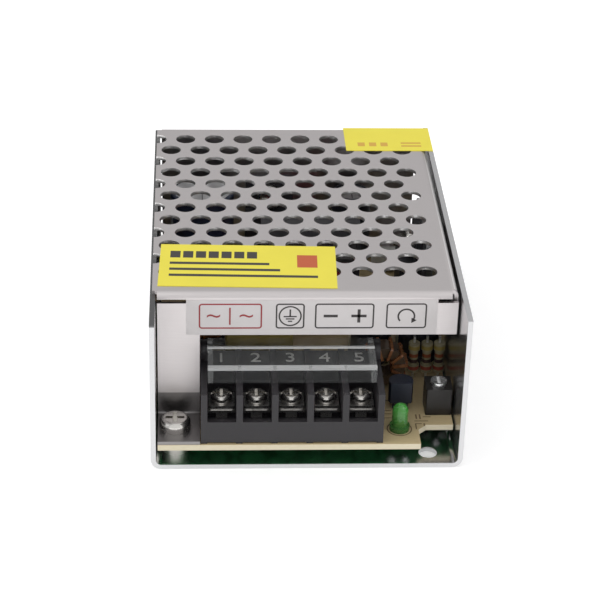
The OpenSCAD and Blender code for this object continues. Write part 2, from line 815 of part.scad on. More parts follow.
leg_core = 5;
side_leg = 2.4;
flange_core = 3.2;
bobbin_t = 0.8;
core_lift = 2.6;
window_h = core_h - 2 * flange_core;
window_z = core_lift + flange_core;

// Two facing E cores, standing with the middle leg upright
module transformer_core() {
    color("dimgray") on_board(transformer_at) translate([0, 0, core_lift]) along_y(-core_depth / 2, core_depth / 2)
        difference() {
            rect([-core_w / 2, 0], [core_w / 2, core_h]);
            for (s = [-1, 1])
                translate([s * (core_w / 2 - side_leg + leg_core / 2) / 2, core_h / 2])
                    square([core_w / 2 - leg_core / 2 - side_leg, window_h], center = true);
        }
}

module transformer_bobbin() {
    gap = 0.05;
    color("black") on_board(transformer_at) difference() {
        union() {
            translate([0, 0, window_z + gap]) linear_extrude(window_h - 2 * gap)
                square([leg_core + 2 * bobbin_t, core_depth + 2 * bobbin_t], center = true);
            for (z = [window_z + gap, window_z + window_h - gap - bobbin_t])
                translate([0, 0, z]) linear_extrude(bobbin_t) union() {
                    square([core_w - 2 * side_leg - 0.4, core_depth - 0.4], center = true);
                    for (s = [-1, 1])
                        translate([0, s * (bobbin_depth / 4 + core_depth / 4 + gap)])
                            square([core_w - 2, bobbin_depth / 2 - core_depth / 2 - 2 * gap], center = true);
                    square([leg_core + 4 * gap, bobbin_depth - 1], center = true);
                }
            for (s = [-1, 1])
                translate([-core_w / 2, s * (bobbin_depth / 2 - 1.6) - 1.6, 0])
                    cube([core_w, 3.2, window_z + gap + bobbin_t]);
        }
        translate([-leg_core / 2 - gap, -core_depth / 2 - gap, 0])
            cube([leg_core + 2 * gap, core_depth + 2 * gap, 40]);
    }
    color("silver") on_board(transformer_at) leads(transformer_leads, thick_wire);
}

module transformer_winding() {
    side = core_w - 2 * side_leg - 0.6;
    color("firebrick") on_board(transformer_at) translate([0, 0, window_z + 0.1 + bobbin_t]) difference() {
        linear_extrude(window_h - 2 * bobbin_t - 0.2) round_rect(side, bobbin_depth - 2.4, 2);
        translate([-leg_core / 2 - bobbin_t - 0.05, -core_depth / 2 - bobbin_t - 0.05, -1])
            cube([leg_core + 2 * bobbin_t + 0.1, core_depth + 2 * bobbin_t + 0.1, 40]);
    }
}

// ---- Output side ---------------------------------------------------------

module safety_capacitor() {
    color("steelblue") on_board(safety_cap_at) {
        translate([0, 1.6, 5.4]) rotate([90, 0, 0]) cylinder(d = 7.4, h = 3.2);
        leads(radial_leads, wire, 3.4);
    }
}

module optocoupler() {
    color("white") on_board(opto_at) {
        chip(6.4, 4.6, 3.4);
        leads(dip_leads, thin_wire, 1.5);
    }
}

module controller_chip() {
    color("darkslategray") on_board(chip_at) {
        chip(6.4, 4.9, 3.3);
        leads(dip_leads, thin_wire, 1.5);
    }
}

module output_capacitor(i) {
    color("darkslategray") on_board(output_cap_at[i]) can(output_cap_d, output_cap_h);
}

choke_d = 8;
choke_t = 3.6;

// The output choke's ferrite ring, standing on its edge
module choke_core() {
    color("olivedrab") on_board(choke_at)
        translate([0, choke_t / 2, choke_d / 2 + 1]) rotate([90, 0, 0]) difference() {
            cylinder(d = choke_d, h = choke_t);
            translate([0, 0, -1]) cylinder(d = choke_d / 2, h = choke_t + 2);
        }
}

// Copper turns round the ring, each a closed loop that clears the ferrite
module choke_winding() {
    turns = 9;
    mid = choke_d * 3 / 8;
    loop_r = choke_d / 8;
    color("peru") on_board(choke_at) translate([0, 0, choke_d / 2 + 1]) {
        for (i = [0:turns - 1]) rotate([0, i * 300 / turns + 120, 0]) translate([mid, 0, 0])
            linear_extrude(thin_wire, center = true) difference() {
                round_rect(2 * loop_r + 2 * thin_wire + 0.1, choke_t + 2 * thin_wire + 0.1, thin_wire);
                square([2 * loop_r + 0.1, choke_t + 0.1], center = true);
            }
        translate([0, 0, -choke_d / 2 - 1]) leads(choke_leads, thin_wire);
    }
}

module standing_resistors() {
    color("khaki") for (at = resistor_at) on_board(at) {
        translate([0, 0, 1.6]) rotate_extrude() {
            square([0.85, 6.2]);
            for (z = [0, 4.7]) translate([0, z]) square([1.1, 1.5]);
        }
        leads([[0, 0]], thin_wire, 9.2);
    }
}

module small_transistor() {
    color("darkslategray") on_board(transistor_at) {
        translate([0, 0, 1.6]) linear_extrude(4.4) difference() {
            circle(d = 4.6);
            rect([-3, -3], [3, -1.2]);
        }
        leads(transistor_leads, thin_wire, 1.8);
    }
}

// ---- Stickers ------------------------------------------------------------

module front_sticker() {
    color("white")
        block([cover_x0 + relief_left_l, cover_y0 - sticker_t, case_h - flange_h + 0.1],
              [cover_x1 - relief_right_l, cover_y0, case_h - cover_outer_r - 0.1]);
}

module top_sticker() {
    color("yellow") translate([cover_x0 + 17.7, front + 20.5, case_h]) rotate(-1.8)
        linear_extrude(sticker_t) square([top_sticker_l, top_sticker_w], center = true);
}

module seal_sticker() {
    color("yellow")
        block([10.8, rear - 11.5, case_h], [case_w / 2 - 0.05, cover_y1 - 0.2, case_h + sticker_t]);
}

// ---- Nodes ---------------------------------------------------------------

chassis();
standoffs();
cover();
cover_screws();
circuit_board();
terminal_block();
terminal_contacts();
terminal_lid();
for (i = [1:5]) {
    terminal_screw(i - 1);
    clamp_washer(i - 1);
}
indicator_led();
trimmer_body();
trimmer_rotor();
fuse();
inrush_thermistor();
filter_capacitor();
line_filter_core();
line_filter_windings();
bridge_rectifier();
bulk_capacitor();
switch_heatsink();
power_switch();
rectifier_heatsink();
output_rectifier();
heatsink_screws();
transformer_core();
transformer_bobbin();
transformer_winding();
safety_capacitor();
optocoupler();
controller_chip();
output_capacitor(0);  // output_capacitor_1
output_capacitor(1);  // output_capacitor_2
output_capacitor(2);  // output_capacitor_3
choke_core();
choke_winding();
standing_resistors();
small_transistor();
front_sticker();
top_sticker();
seal_sticker();
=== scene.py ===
"""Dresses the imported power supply: finishes, soft edges, print, solder and the stage."""

import math

import bmesh
import bpy
from mathutils import Matrix, Vector


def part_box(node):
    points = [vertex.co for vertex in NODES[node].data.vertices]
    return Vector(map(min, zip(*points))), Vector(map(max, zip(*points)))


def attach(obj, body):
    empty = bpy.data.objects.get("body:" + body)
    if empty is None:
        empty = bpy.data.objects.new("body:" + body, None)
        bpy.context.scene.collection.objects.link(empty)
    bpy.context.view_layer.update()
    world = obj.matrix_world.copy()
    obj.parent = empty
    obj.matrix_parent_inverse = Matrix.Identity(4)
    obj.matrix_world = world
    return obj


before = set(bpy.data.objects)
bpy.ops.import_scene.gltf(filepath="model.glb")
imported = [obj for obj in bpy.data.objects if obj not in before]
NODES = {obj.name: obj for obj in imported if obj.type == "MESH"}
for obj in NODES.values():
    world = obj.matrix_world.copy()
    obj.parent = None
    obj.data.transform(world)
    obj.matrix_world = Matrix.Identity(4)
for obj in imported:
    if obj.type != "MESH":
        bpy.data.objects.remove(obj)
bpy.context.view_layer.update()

bl_info = {
    "name": "Mesh case power supply",
    "version": (1, 0, 0),
    "blender": (4, 5, 0),
    "location": "View3D > Sidebar > Power supply",
    "description": "Finishes, print, solder and soft edges for the packed power supply",
    "category": "Object",
}

MM = 0.001
WAYS = 5
SOLDER_HEIGHT = 0.8 * MM
LABEL_TURN = math.radians(1.8)


# ---- Places, read from the frame ---------------------------------------------

def centre_of(node):
    """Middle of a CAD node's box."""
    low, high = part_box(node)
    return (Vector(low) + Vector(high)) / 2


BOARD_LOW, BOARD_HIGH = (Vector(corner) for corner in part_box("circuit_board"))
COVER_HIGH = Vector(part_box("cover")[1])
STICKER_LOW, STICKER_HIGH = (Vector(corner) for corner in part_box("front_sticker"))


# ---- Shader maths ------------------------------------------------------------

class Wire:
    """A node's output that adds Math nodes when it is used in arithmetic."""

    def __init__(self, builder, socket):
        self.builder = builder
        self.socket = socket

    def math(self, operation, *values):
        """Adds a Math node fed by the values in order."""
        return self.builder.node("ShaderNodeMath", {"operation": operation}, dict(enumerate(values)))

    def other(self, output):
        """Another output of the same node."""
        return Wire(self.builder, self.socket.node.outputs[output])

    def __add__(self, other):
        return self.math("ADD", self, other)

    def __radd__(self, other):
        return self.math("ADD", other, self)

    def __sub__(self, other):
        return self.math("SUBTRACT", self, other)

    def __rsub__(self, other):
        return self.math("SUBTRACT", other, self)

    def __mul__(self, other):
        return self.math("MULTIPLY", self, other)

    def __rmul__(self, other):
        return self.math("MULTIPLY", other, self)

    def __gt__(self, other):
        return self.math("GREATER_THAN", self, other)

    def __lt__(self, other):
        return self.math("LESS_THAN", self, other)

    def __or__(self, other):
        return self.math("MAXIMUM", self, other)

    def __abs__(self):
        return self.math("ABSOLUTE", self)

    def sine(self):
        return self.math("SINE", self)

    def root(self):
        return self.math("SQRT", self)

    def fraction(self):
        return self.math("FRACT", self)

    def clamp(self):
        """The value held between 0 and 1."""
        return self.math("MINIMUM", self.math("MAXIMUM", self, 0.0), 1.0)

    def within(self, low, high):
        """1 where the value lies between two limits."""
        return (self > low) * (self < high)


class TreeBuilder:
    """Fills a node tree, and hands out wires to what it adds."""

    def __init__(self, owner):
        owner.use_nodes = True
        self.tree = owner.node_tree

    def node(self, kind, settings=None, inputs=None, output=0):
        """Adds a node, sets it up, feeds its sockets and returns one output."""
        item = self.tree.nodes.new(kind)
        for key, value in (settings or {}).items():
            setattr(item, key, value)
        for key, value in (inputs or {}).items():
            self.feed(item.inputs[key], value)
        return Wire(self, item.outputs[output])

    def feed(self, socket, value):
        """Links a wire to a socket, or sets the socket's own value."""
        if isinstance(value, Wire):
            self.tree.links.new(value.socket, socket)
        elif isinstance(value, tuple) and len(value) == 3 and socket.type == "RGBA":
            socket.default_value = (*value, 1.0)
        else:
            socket.default_value = value

    def split(self, vector):
        """X, Y and Z of a vector."""
        x_axis = self.node("ShaderNodeSeparateXYZ", inputs={0: vector})
        return [x_axis.other(axis) for axis in range(3)]


class Finish(TreeBuilder):
    """A material being made: its tree, its shader and its coordinates."""

    def __init__(self, name, **constants):
        self.material = bpy.data.materials.new(name)
        super().__init__(self.material)
        self.shader = self.tree.nodes["Principled BSDF"]
        for socket, value in constants.items():
            self.shader.inputs[socket.replace("_", " ")].default_value = value
        self.place = self.node("ShaderNodeTexCoord", output="Object")

    def mix(self, factor, first, second):
        """Blends two colours, which are sockets 6 and 7 of a Mix node and its output 2."""
        return self.node("ShaderNodeMix", {"data_type": "RGBA"}, {0: factor, 6: first, 7: second}, 2)

    def axes(self, source=None):
        """X, Y and Z of a vector, of the object's own place by default."""
        return self.split(source or self.place)

    def facing(self):
        """X, Y and Z of the surface's own direction."""
        return self.axes(self.node("ShaderNodeTexCoord", output="Normal"))

    def centred(self, centre, turn=0.0, scale=(1.0, 1.0, 1.0)):
        """The place seen from a centre, turned about Z and then scaled."""
        moved = self.node("ShaderNodeVectorMath", {"operation": "SUBTRACT"},
                          {0: self.place, 1: tuple(centre)})
        return self.node("ShaderNodeMapping", {"vector_type": "POINT"},
                         {"Vector": moved, "Rotation": (0.0, 0.0, turn), "Scale": scale})

    def noise(self, size, stretch=(1.0, 1.0, 1.0), detail=3.0):
        """Noise whose grains are about size across, stretched along the axes."""
        scaled = self.node("ShaderNodeVectorMath", {"operation": "DIVIDE"},
                           {0: self.place, 1: stretch})
        return self.node("ShaderNodeTexNoise", {"noise_dimensions": "3D"},
                         {"Vector": scaled, "Scale": 1.0 / size, "Detail": detail}, 0)

    def colour(self, value):
        self.feed(self.shader.inputs["Base Color"], value)

    def rough(self, value):
        self.feed(self.shader.inputs["Roughness"], value)

    def metal(self, value):
        self.feed(self.shader.inputs["Metallic"], value)

    def bump(self, height, distance, strength=0.6):
        """Raises the surface by height times distance."""
        normal = self.node("ShaderNodeBump", inputs={
            "Strength": strength, "Distance": distance, "Height": height})
        self.feed(self.shader.inputs["Normal"], normal)

    def dress(self, *nodes):
        """Puts the finish on CAD nodes."""
        for name in nodes:
            piece = NODES[name]
            if not piece.material_slots:
                piece.data.materials.append(self.material)
            for slot in piece.material_slots:
                slot.material = self.material


def reach(x, y):
    """Distance from the axis that X and Y are measured from."""
    return (x * x + y * y).root()


def shade(colour, factor):
    """A colour made darker or lighter."""
    return tuple(min(1.0, channel * factor) for channel in colour)


# ---- Finishes ----------------------------------------------------------------

def sheet_metal(name, colour, roughness, drawn, painted_darkening=(), rims=None):
    """Rolled sheet with fine lines along one axis, faint smears, painted highlights on the hole rims
    and painted dark places.

    A painted dark place, painted shade or a painted dark reflection, is its right and rear limits, its
    height range, its amount and its tint.
    Rims, whose steep walls get a painted highlight, are a lowest height, a front limit and an amount.
    """
    finish = Finish(name, Metallic=1.0)
    lines = finish.noise(0.25 * MM, drawn, 4.0)
    smear = finish.noise(14 * MM, (1.0, 1.6, 1.0), 2.0)
    tone = finish.mix(lines, shade(colour, 0.92), shade(colour, 1.06))
    tone = finish.mix(smear * 0.35, tone, shade(colour, 0.84))
    x, y, z = finish.axes()
    if rims is not None:
        # painted highlight: steep hole walls near the top are painted near white
        low, front, amount = rims
        steep = abs(finish.facing()[2]) < 0.93
        tone = finish.mix(steep * (z > low) * (y > front) * amount, tone, (1.0, 0.99, 0.98))
    # painted shade and dark reflection: each given place is mixed towards its dark tint
    for x_most, y_most, z_low, z_high, amount, tint in painted_darkening:
        place = (x < x_most) * (y < y_most) * z.within(z_low, z_high)
        tone = finish.mix(place * amount, tone, tint)
    finish.colour(tone)
    finish.rough(lines * 0.10 + smear * 0.14 + (roughness - 0.12))
    finish.bump(lines, 0.012 * MM, 0.5)
    return finish


def plated(name, colour, roughness, wear=0.2):
    """Turned or stamped plated metal with small darker scuffs."""
    finish = Finish(name, Metallic=1.0)
    scuffs = finish.noise(0.9 * MM, detail=5.0)
    fine = finish.noise(0.12 * MM)
    worn = ((scuffs - 0.52) * 5.0).clamp()
    finish.colour(finish.mix(worn * wear, colour, shade(colour, 0.45)))
    finish.rough(worn * 0.16 + fine * 0.12 + (roughness - 0.06))
    finish.bump(fine, 0.01 * MM, 0.4)
    return finish


def moulding(name, colour, roughness, grain=0.10, depth=0.012):
    """Moulded plastic with a fine spark-eroded grain and slight tone changes."""
    finish = Finish(name)
    grains = finish.noise(grain * MM, detail=2.0)
    cloud = finish.noise(5 * MM)
    finish.colour(finish.mix(cloud, shade(colour, 0.82), shade(colour, 1.2)))
    finish.rough(grains * 0.14 + cloud * 0.10 + (roughness - 0.12))
    finish.bump(grains, depth * MM)
    return finish


def dipped(name, colour, roughness=0.3):
    """A dipped coating, glossy and slightly uneven."""
    finish = Finish(name, Coat_Weight=0.3, Coat_Roughness=0.15)
    runs = finish.noise(1.6 * MM, detail=1.0)
    finish.colour(finish.mix(runs, shade(colour, 0.8), shade(colour, 1.25)))
    finish.rough(runs * 0.12 + (roughness - 0.06))
    finish.bump(runs, 0.06 * MM)
    return finish


def wound_wire(name, pitch, axis, colour=(0.50, 0.20, 0.075)):
    """Enamelled copper turns laid side by side along one axis, with painted shade between the turns
    and painted highlights on their crowns.
    """
    finish = Finish(name, Metallic=0.75, Coat_Weight=0.5, Coat_Roughness=0.1)
    rounded = abs((finish.axes()[axis] * (math.pi / (pitch * MM))).sine())
    drift = finish.noise(2.5 * MM)
    # painted shade and highlight: the colour is darker between turns and lighter on their crowns
    finish.colour(finish.mix(rounded * 0.7 + drift * 0.3, shade(colour, 0.35), shade(colour, 1.35)))
    finish.rough(0.42 - rounded * 0.14)
    finish.bump(rounded, 0.12 * MM)
    return finish


def sleeved_can(name, node, sleeve, stripe):
    """A shrunk sleeve with a pale polarity stripe, and a bare scored top."""
    low, high = (Vector(corner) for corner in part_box(node))
    radius = (high.x - low.x) / 2
    opening = radius - 0.75 * MM
    dash_pitch = 5 * MM
    half_score = 0.11 * MM
    finish = Finish(name, Coat_Weight=0.3, Coat_Roughness=0.2)
    x, y, z = finish.axes(finish.centred(((low.x + high.x) / 2, (low.y + high.y) / 2, 0)))
    out = reach(x, y)
    lid = z > high.z - 0.45 * MM
    top = lid * (out < opening)
    rim = lid * (out > opening)
    marked = ((x * -1.0) > radius * 0.93) * z.within(low.z + 3 * MM, high.z - 2 * MM)
    dash = abs((z * (1 / dash_pitch)).fraction() - 0.5) < 0.16
    score = ((abs(x) < half_score) | (abs(y) < half_score)) * top * (out < radius * 0.62)
    body = finish.mix(marked, sleeve, finish.mix(dash, stripe, shade(sleeve, 1.5)))
    tone = finish.mix(top, body, (0.74, 0.74, 0.75))
    tone = finish.mix(score, tone, (0.28, 0.28, 0.29))
    finish.colour(finish.mix(rim * 0.4, tone, shade(sleeve, 2.0)))
    finish.metal(top)
    finish.rough(finish.noise(0.5 * MM) * 0.12 + 0.26 + top * 0.06)
    finish.bump(1.0 - score, 0.15 * MM)
    return finish


# Left, width, bottom and height in mm of the board's printed strokes, from the lamp's right.
BOARD_PRINT = (
    (0.0, 0.25, -0.2, 2.0), (0.0, 1.3, 1.55, 0.25), (1.6, 0.25, -0.2, 2.0), (2.1, 1.1, 0.7, 0.25),
    (0.0, 2.6, 2.5, 0.25), (0.3, 0.3, 3.3, 1.6), (1.0, 0.3, 3.3, 1.6), (1.7, 1.5, 3.9, 0.25),
    (-6.4, 2.2, 3.6, 0.25), (-6.4, 0.25, 3.6, 5.2), (-5.4, 1.3, 5.0, 0.25), (-5.4, 1.3, 6.1, 0.25),
    (-3.0, 0.25, 2.8, 7.0), (-6.4, 3.6, 9.6, 0.25))


def board_laminate(colour):
    """Tan paper laminate with cream edges, a little print, and green resist and tracks underneath."""
    finish = Finish("board_laminate")
    x, y, z = finish.axes()
    up = finish.facing()[2]
    fibre = finish.noise(0.35 * MM, (3.0, 1.0, 1.0), 4.0)
    cloud = finish.noise(9 * MM)
    tan = finish.mix(fibre, shade(colour, 0.86), shade(colour, 1.1))
    tan = finish.mix(cloud * 0.3, tan, shade(colour, 0.72))
    lamp = centre_of("indicator_led")
    ink = reach(x - lamp.x, y - lamp.y).within(2.15 * MM, 2.4 * MM)
    right = lamp.x + 3.1 * MM
    for left, width, bottom, height in BOARD_PRINT:
        ink = ink | (x.within(right + left * MM, right + (left + width) * MM)
                     * y.within(lamp.y + bottom * MM, lamp.y + (bottom + height) * MM))
    tan = finish.mix(ink * 0.85, tan, (0.10, 0.05, 0.03))
    track_scale, track_gap = 210.0, 0.055
    tracks = finish.node("ShaderNodeTexVoronoi",
                         {"feature": "DISTANCE_TO_EDGE", "distance": "EUCLIDEAN"},
                         {"Vector": finish.place, "Scale": track_scale})
    green = finish.mix(tracks < track_gap, (0.05, 0.32, 0.11), (0.02, 0.15, 0.05))
    edge = finish.mix(fibre, (0.70, 0.62, 0.44), (0.80, 0.73, 0.56))
    under = up < -0.5
    finish.colour(finish.mix(under, finish.mix(up > 0.5, edge, tan), green))
    finish.rough(0.52 + fibre * 0.12 - under * 0.25)
    finish.bump(fibre * 0.5 + cloud * 0.5, 0.015 * MM)
    return finish


def banded_body(colour, bands):
    """A painted resistor body with colour bands round it and bare wire above."""
    base = BOARD_HIGH.z + 1.6 * MM
    length, band_width = 6.25 * MM, 0.75
    finish = Finish("resistor_coating")
    z = finish.axes()[2]
    tone = finish.mix(finish.noise(1.2 * MM), shade(colour, 0.85), shade(colour, 1.12))
    for start, band in bands:
        tone = finish.mix(z.within(base + start * MM, base + (start + band_width) * MM), tone, band)
    wire = (z > base + length) | (z < base)
    finish.colour(finish.mix(wire, tone, (0.72, 0.72, 0.71)))
    finish.metal(wire)
    finish.rough(0.34 + finish.noise(0.3 * MM) * 0.1)
    return finish


def paper_label(name, node, paper, turn, marks):
    """A printed label: fields of ink on vinyl, with a faint curl."""
    finish = Finish(name, Coat_Weight=0.2, Coat_Roughness=0.3)
    u, v, _ = finish.axes(finish.centred(centre_of(node), turn))
    fibre = finish.noise(0.4 * MM)
    tone = finish.mix(finish.noise(6 * MM), shade(paper, 0.93), shade(paper, 1.05))
    for left, right, bottom, top, ink in marks:
        field = u.within(left * MM, right * MM) * v.within(bottom * MM, top * MM)
        tone = finish.mix(field, tone, ink)
    finish.colour(tone)
    finish.rough(0.42 + fibre * 0.12)
    finish.bump(finish.noise(3 * MM) * 0.7 + fibre * 0.3, 0.03 * MM)
    return finish


def clear_lid():
    """Clear moulded plastic with painted highlights on its front lip, bevels and ends, and brighter
    where seen at a glancing angle.
    """
    low, high = (Vector(corner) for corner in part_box("terminal_lid"))
    finish = Finish("clear_plastic", IOR=1.49, Specular_IOR_Level=0.8)
    rim = finish.node("ShaderNodeLayerWeight", inputs={"Blend": 0.3}, output="Facing")
    waves = finish.noise(3.5 * MM, (2.0, 1.0, 1.0), 1.0)
    x, y, z = finish.axes()
    _, ahead, up = finish.facing()
    lip_depth = 1.0 * MM
    lip = (y < low.y + lip_depth) * z.within(high.z - lip_depth, high.z + lip_depth)
    ends = (abs(x - (low.x + high.x) / 2) > (high.x - low.x) / 2 - 2.2 * MM)
    slope = (abs(ahead) > 0.25) * (abs(up) > 0.25)
    # painted highlight: the front lip, the bevels and the ends are painted pale and made less clear
    painted_edge_highlight = (lip * 0.62) | (slope * 0.75) | (ends * 0.18)
    finish.colour(finish.mix(painted_edge_highlight, (0.20, 0.21, 0.21), (0.92, 0.93, 0.93)))
    finish.feed(finish.shader.inputs["Alpha"], (rim * rim * 0.55 + painted_edge_highlight * 0.85 + 0.05).clamp())
    finish.rough(waves * 0.06 + 0.05)
    finish.bump(waves, 0.04 * MM)
    finish.material.surface_render_method = "BLENDED"
    return finish


def lamp_lens(colour):
    """Tinted translucent resin with painted light: paler towards the dome's tip and darker at the
    flange.
    """
    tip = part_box("indicator_led")[1][2]
    finish = Finish("green_lens", IOR=1.52, Transmission_Weight=0.25, Coat_Weight=0.6,
                    Coat_Roughness=0.05)
    z = finish.axes()[2]
    height = ((z - BOARD_HIGH.z) * (1.0 / (tip - BOARD_HIGH.z))).clamp()
    wire = z < BOARD_HIGH.z - 0.1 * MM
    # painted light: the resin is painted darker at the flange and paler towards the tip
    tone = finish.mix(height, shade(colour, 0.55), shade(colour, 1.5))
    finish.colour(finish.mix(wire, tone, (0.7, 0.7, 0.7)))
    finish.metal(wire)
    finish.rough(finish.noise(0.6 * MM) * 0.08 + 0.06)
    finish.bump(finish.noise(1.3 * MM, detail=1.0), 0.10 * MM)
    core = finish.node("ShaderNodeLayerWeight", inputs={"Blend": 0.35}, output="Facing")
    finish.feed(finish.shader.inputs["Alpha"], (core * 0.4 + height * 0.15 + 0.55 + wire).clamp())
    return finish


def stage_floor():
    """White ground that keeps a soft shadow of the object."""
    finish = Finish("white_ground", Roughness=0.7)
    camera_ray = finish.node("ShaderNodeLightPath", output="Is Camera Ray")
    seen = camera_ray | camera_ray.other("Is Glossy Ray") | camera_ray.other("Is Transmission Ray")
    finish.colour((0.86, 0.86, 0.86))
    bright = finish.tree.nodes.new("ShaderNodeBsdfPrincipled")
    bright.inputs["Base Color"].default_value = (1.0, 1.0, 1.0, 1.0)
    bright.inputs["Roughness"].default_value = 0.8
    bright.inputs["Specular IOR Level"].default_value = 0.0
    bright.inputs["Emission Color"].default_value = (1.0, 1.0, 1.0, 1.0)
    bright.inputs["Emission Strength"].default_value = 0.20
    blend = finish.tree.nodes.new("ShaderNodeMixShader")
    finish.feed(blend.inputs[0], seen)
    finish.tree.links.new(finish.shader.outputs[0], blend.inputs[1])
    finish.tree.links.new(bright.outputs[0], blend.inputs[2])
    finish.tree.links.new(blend.outputs[0], finish.tree.nodes["Material Output"].inputs["Surface"])
    return finish


# ---- Shapes ------------------------------------------------------------------

class Shape:
    """Flat and turned forms that are collected into one mesh."""

    def __init__(self):
        self.mesh = bmesh.new()

    def add(self, part, matrix=None):
        """Takes over a finished bmesh, put in its place."""
        if matrix is not None:
            part.transform(matrix)
        spare = bpy.data.meshes.new("spare")
        part.to_mesh(spare)
        part.free()
        self.mesh.from_mesh(spare)
        bpy.data.meshes.remove(spare)

    def raise_flat(self, part, depth, matrix):
        """Gives a flat form its thickness, then places it."""
        grown = bmesh.ops.extrude_face_region(part, geom=part.faces[:])["geom"]
        points = [item for item in grown if isinstance(item, bmesh.types.BMVert)]
        bmesh.ops.translate(part, verts=points, vec=(0, 0, depth))
        bmesh.ops.recalc_face_normals(part, faces=part.faces[:])
        self.add(part, matrix)

    def plate(self, width, height, radius, line, depth, matrix):
        """A plate with rounded corners, or its outline where line is given."""
        part = bmesh.new()
        bmesh.ops.create_grid(part, x_segments=1, y_segments=1, size=0.5)
        bmesh.ops.scale(part, verts=part.verts[:], vec=(width, height, 1))
        if radius:
            bmesh.ops.bevel(part, geom=part.verts[:], offset=radius, affect="VERTICES", segments=5,
                            profile=0.5, material=-1)
        if line:
            inner = part.faces[:]
            bmesh.ops.inset_region(part, faces=inner, thickness=line, use_boundary=True,
                                   use_even_offset=True)
            bmesh.ops.delete(part, geom=inner, context="FACES")
        self.raise_flat(part, depth, matrix)

    def arc(self, radius, line, start, sweep, depth, matrix):
        """A flat band bent round a centre; a full sweep closes."""
        part = bmesh.new()
        ends = [part.verts.new((radius - line / 2, 0, 0)), part.verts.new((radius + line / 2, 0, 0))]
        edge = part.edges.new(ends)
        whole = abs(sweep - 2 * math.pi) < 1e-6
        bmesh.ops.spin(part, geom=[*ends, edge], cent=(0, 0, 0), axis=(0, 0, 1), angle=sweep, steps=28,
                       use_merge=whole)
        bmesh.ops.rotate(part, verts=part.verts[:], matrix=Matrix.Rotation(start, 3, "Z"))
        self.raise_flat(part, depth, matrix)

    def words(self, body, size, depth, matrix):
        """A plain mark from the built-in font, centred on its place."""
        curve = bpy.data.curves.new("mark", "FONT")
        curve.body = body
        curve.size = size
        curve.align_x = "CENTER"
        curve.align_y = "CENTER"
        curve.resolution_u = 4
        curve.extrude = depth / 2
        holder = bpy.data.objects.new("mark", curve)
        bpy.context.scene.collection.objects.link(holder)
        bpy.context.view_layer.update()
        depsgraph = bpy.context.evaluated_depsgraph_get()
        mesh = bpy.data.meshes.new_from_object(holder.evaluated_get(depsgraph))
        bpy.data.objects.remove(holder)
        part = bmesh.new()
        part.from_mesh(mesh)
        bpy.data.meshes.remove(mesh)
        bmesh.ops.remove_doubles(part, verts=part.verts[:], dist=1e-7)
        bmesh.ops.recalc_face_normals(part, faces=part.faces[:])
        bmesh.ops.translate(part, verts=part.verts[:], vec=(0, 0, depth / 2))
        self.add(part, matrix)

    def finish(self, name, body, slot, material):
        """Makes the piece, which rides on its body."""
        mesh = bpy.data.meshes.new(name)
        self.mesh.to_mesh(mesh)
        self.mesh.free()
        piece = bpy.data.objects.new(name, mesh)
        bpy.context.scene.collection.objects.link(piece)
        mesh.materials.append(material)
        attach(piece, body)
        return piece


def on_top(x, y, z):
    """Place for a flat form that lies face up."""
    return Matrix.Translation((x, y, z))


def on_front(x, y, z):
    """Place for a flat form that faces the terminals' side."""
    return Matrix.Translation((x, y, z)) @ Matrix.Rotation(math.pi / 2, 4, "X")


def lead_tips(node):
    """Where a part's leads end below the board."""
    found = []
    limit = BOARD_LOW.z - SOLDER_HEIGHT / 2
    same_lead = 1.3 * MM
    for vertex in NODES[node].data.vertices:
        if vertex.co.z < limit:
            spot = Vector((vertex.co.x, vertex.co.y))
            for group in found:
                if (group[0] - spot).length < same_lead:
                    group.append(spot)
                    break
            else:
                found.append([spot])
    return [sum(group, Vector((0, 0))) / len(group) for group in found]


def soften(node, width, angle=35.0, segments=2):
    """Breaks the sharp edges of a CAD node."""
    piece = NODES[node]
    weld = piece.modifiers.new("weld", "WELD")
    weld.merge_threshold = 1e-6
    bevel = piece.modifiers.new("edges", "BEVEL")
    bevel.width = width
    bevel.segments = segments
    bevel.profile = 0.5
    bevel.limit_method = "ANGLE"
    bevel.angle_limit = math.radians(angle)


# ---- Settings ----------------------------------------------------------------

class CaseSettings(bpy.types.PropertyGroup):
    """Looks of the sheet metal."""
    base_colour: bpy.props.FloatVectorProperty(
        name="Base colour", description="Colour of the base channel's aluminium", subtype="COLOR",
        size=3, default=(0.66, 0.66, 0.67), min=0, max=1)
    cover_colour: bpy.props.FloatVectorProperty(
        name="Cover colour", description="Colour of the perforated cover", subtype="COLOR",
        size=3, default=(0.65, 0.615, 0.615), min=0, max=1)
    edge_break: bpy.props.FloatProperty(
        name="Edge break", description="Width of the broken edges of the sheet metal",
        default=0.10 * MM, unit="LENGTH", precision=5)
    rim_break: bpy.props.FloatProperty(
        name="Rim break", description="Width of the rolled rims of the cover's holes",
        default=0.22 * MM, unit="LENGTH", precision=5)


class BoardSettings(bpy.types.PropertyGroup):
    """Looks of the circuit board."""
    top_colour: bpy.props.FloatVectorProperty(
        name="Top colour", description="Colour of the laminate's bare top", subtype="COLOR",
        size=3, default=(0.58, 0.46, 0.26), min=0, max=1)
    solder_radius: bpy.props.FloatProperty(
        name="Solder radius", description="Radius of a solder joint at the board",
        default=1.1 * MM, unit="LENGTH", precision=5)


class PrintSettings(bpy.types.PropertyGroup):
    """Looks of the print and the digits."""
    digit_height: bpy.props.FloatProperty(
        name="Digit height", description="Height of the terminal digits",
        default=3.3 * MM, unit="LENGTH", precision=5)
    shelf_height: bpy.props.FloatProperty(
        name="Shelf height", description="Height of the block's rear shelf above the board",
        default=10.1 * MM, unit="LENGTH", precision=5)
    line_width: bpy.props.FloatProperty(
        name="Line width", description="Width of the outlines on the front label",
        default=0.28 * MM, unit="LENGTH", precision=5)


